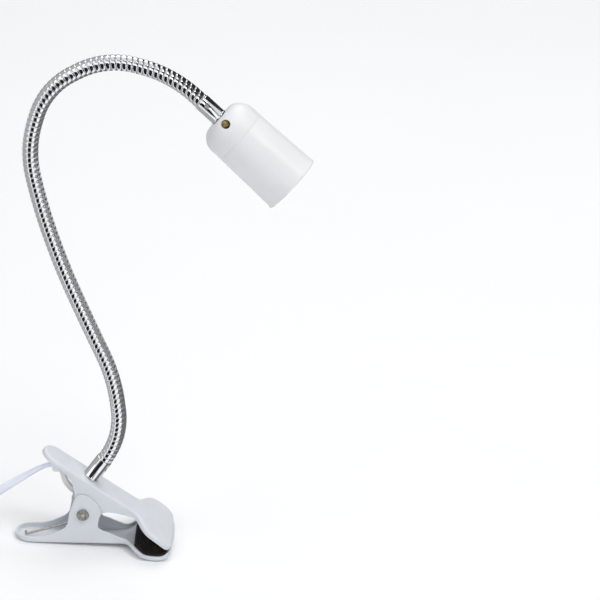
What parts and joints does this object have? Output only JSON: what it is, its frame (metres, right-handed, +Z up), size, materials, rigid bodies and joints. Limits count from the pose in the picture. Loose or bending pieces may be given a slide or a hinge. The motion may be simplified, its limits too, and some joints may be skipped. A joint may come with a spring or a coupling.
{
  "type": "clip-on reading lamp",
  "caption": "Reading lamp with a sprung metal clip, a chromed bendable gooseneck, a white screw lampholder that points where the neck is set, and a switched cord with a plug.",
  "frame": {"origin": "middle of the flat under the lower jaw, on the surface that the lamp stands on", "axes": "+X from the clip's handles to its jaws, +Y across the clip, +Z up; the gooseneck bends in the XZ plane"},
  "size_m": [0.3995, 0.078, 0.345],
  "materials": {
    "brass": "plain brass, lightly dulled",
    "chrome": "bright chrome plate, polished",
    "cord_white": "satin white flexible cord sheath",
    "core_cream": "glazed cream porcelain",
    "holder_white": "satin white moulded plastic",
    "powder_coat": "pale cool grey powder coat, satin",
    "rubber": "black moulded rubber, matt",
    "steel": "zinc-plated steel, satin",
    "wire_blue": "blue wire insulation, satin",
    "wire_brown": "brown wire insulation, satin"
  },
  "bodies": {
    "clip_base": {"lower_lever": "powder_coat", "lower_jaw_pad": "rubber", "clip_rivet": "steel", "clip_bush": "steel", "clip_spring": "steel", "cord_lead": "cord_white", "cord_tail": "cord_white", "cord_end": "cord_white", "cord_coil": "cord_white", "coil_tie": "rubber", "switch_base": "holder_white", "switch_cover": "holder_white", "plug_body": "holder_white", "plug_boot": "holder_white", "plug_pin_1": "brass", "plug_pin_2": "brass"},
    "upper_lever": {"upper_lever": "powder_coat", "upper_jaw_pad": "rubber", "base_ferrule": "chrome", "base_ferrule_screw": "steel", "base_washer": "steel", "base_nut": "steel", "neck_link_1": "chrome", "neck_cable_1": "cord_white", "cord_strap": "holder_white", "inner_lead": "cord_white"},
    "neck_2": {"neck_link_2": "chrome", "neck_cable_2": "cord_white"},
    "neck_3": {"neck_link_3": "chrome", "neck_cable_3": "cord_white"},
    "neck_4": {"neck_link_4": "chrome", "neck_cable_4": "cord_white"},
    "neck_5": {"neck_link_5": "chrome", "neck_cable_5": "cord_white"},
    "neck_6": {"neck_link_6": "chrome", "neck_cable_6": "cord_white"},
    "neck_7": {"neck_link_7": "chrome", "neck_cable_7": "cord_white"},
    "neck_8": {"neck_link_8": "chrome", "neck_cable_8": "cord_white"},
    "head": {"neck_link_9": "chrome", "neck_cable_9": "cord_white", "head_ferrule": "chrome", "head_ferrule_screw": "steel", "holder_cap": "holder_white", "cap_lock_screw": "brass", "holder_skirt": "holder_white", "socket_core": "core_cream", "screw_shell": "brass", "centre_contact": "brass", "live_terminal": "brass", "neutral_terminal": "brass", "live_wire": "wire_brown", "neutral_wire": "wire_blue", "head_cable": "cord_white"},
    "switch_rocker": {"switch_rocker": "holder_white"}
  },
  "joints": [
    {"name": "clip_hinge", "type": "hinge", "parent": "clip_base", "child": "upper_lever", "pos_m": [-0.051, 0, 0.0235], "axis": [0, -1, 0], "range_deg": [0, 40], "stiffness_Nm_per_rad": 1.2, "springref_deg": -28.65, "deforming": ["clip_spring", "cord_lead"]},
    {"name": "neck_joint_1", "type": "hinge", "parent": "upper_lever", "child": "neck_2", "pos_m": [-0.03177, 0, 0.10173], "axis": [0, 1, 0], "range_deg": [-20, 14]},
    {"name": "neck_joint_2", "type": "hinge", "parent": "neck_2", "child": "neck_3", "pos_m": [-0.04535, 0, 0.14159], "axis": [0.8942, 0, 0.4478], "range_deg": [-18, 18]},
    {"name": "neck_joint_3", "type": "hinge", "parent": "neck_3", "child": "neck_4", "pos_m": [-0.06385, 0, 0.17963], "axis": [0, 1, 0], "range_deg": [-18, 13]},
    {"name": "neck_joint_4", "type": "hinge", "parent": "neck_4", "child": "neck_5", "pos_m": [-0.08031, 0, 0.21857], "axis": [0, 1, 0], "range_deg": [-18, 12]},
    {"name": "neck_joint_5", "type": "hinge", "parent": "neck_5", "child": "neck_6", "pos_m": [-0.09313, 0, 0.25886], "axis": [0.9659, 0, 0.2588], "range_deg": [-18, 18]},
    {"name": "neck_joint_6", "type": "hinge", "parent": "neck_6", "child": "neck_7", "pos_m": [-0.09239, 0, 0.30063], "axis": [0, 1, 0], "range_deg": [-30, 8]},
    {"name": "neck_joint_7", "type": "hinge", "parent": "neck_7", "child": "neck_8", "pos_m": [-0.0666, 0, 0.33253], "axis": [0, 1, 0], "range_deg": [-30, 8]},
    {"name": "neck_joint_8", "type": "hinge", "parent": "neck_8", "child": "head", "pos_m": [-0.0258, -0.00155, 0.33813], "axis": [-0.1868, 0.0242, -0.9821], "range_deg": [-25, 25]},
    {"name": "rocker_axis", "type": "hinge", "parent": "clip_base", "child": "switch_rocker", "pos_m": [-0.201, -0.027, 0.0118], "axis": [0, 1, 0], "range_deg": [0, 14]}
  ]
}
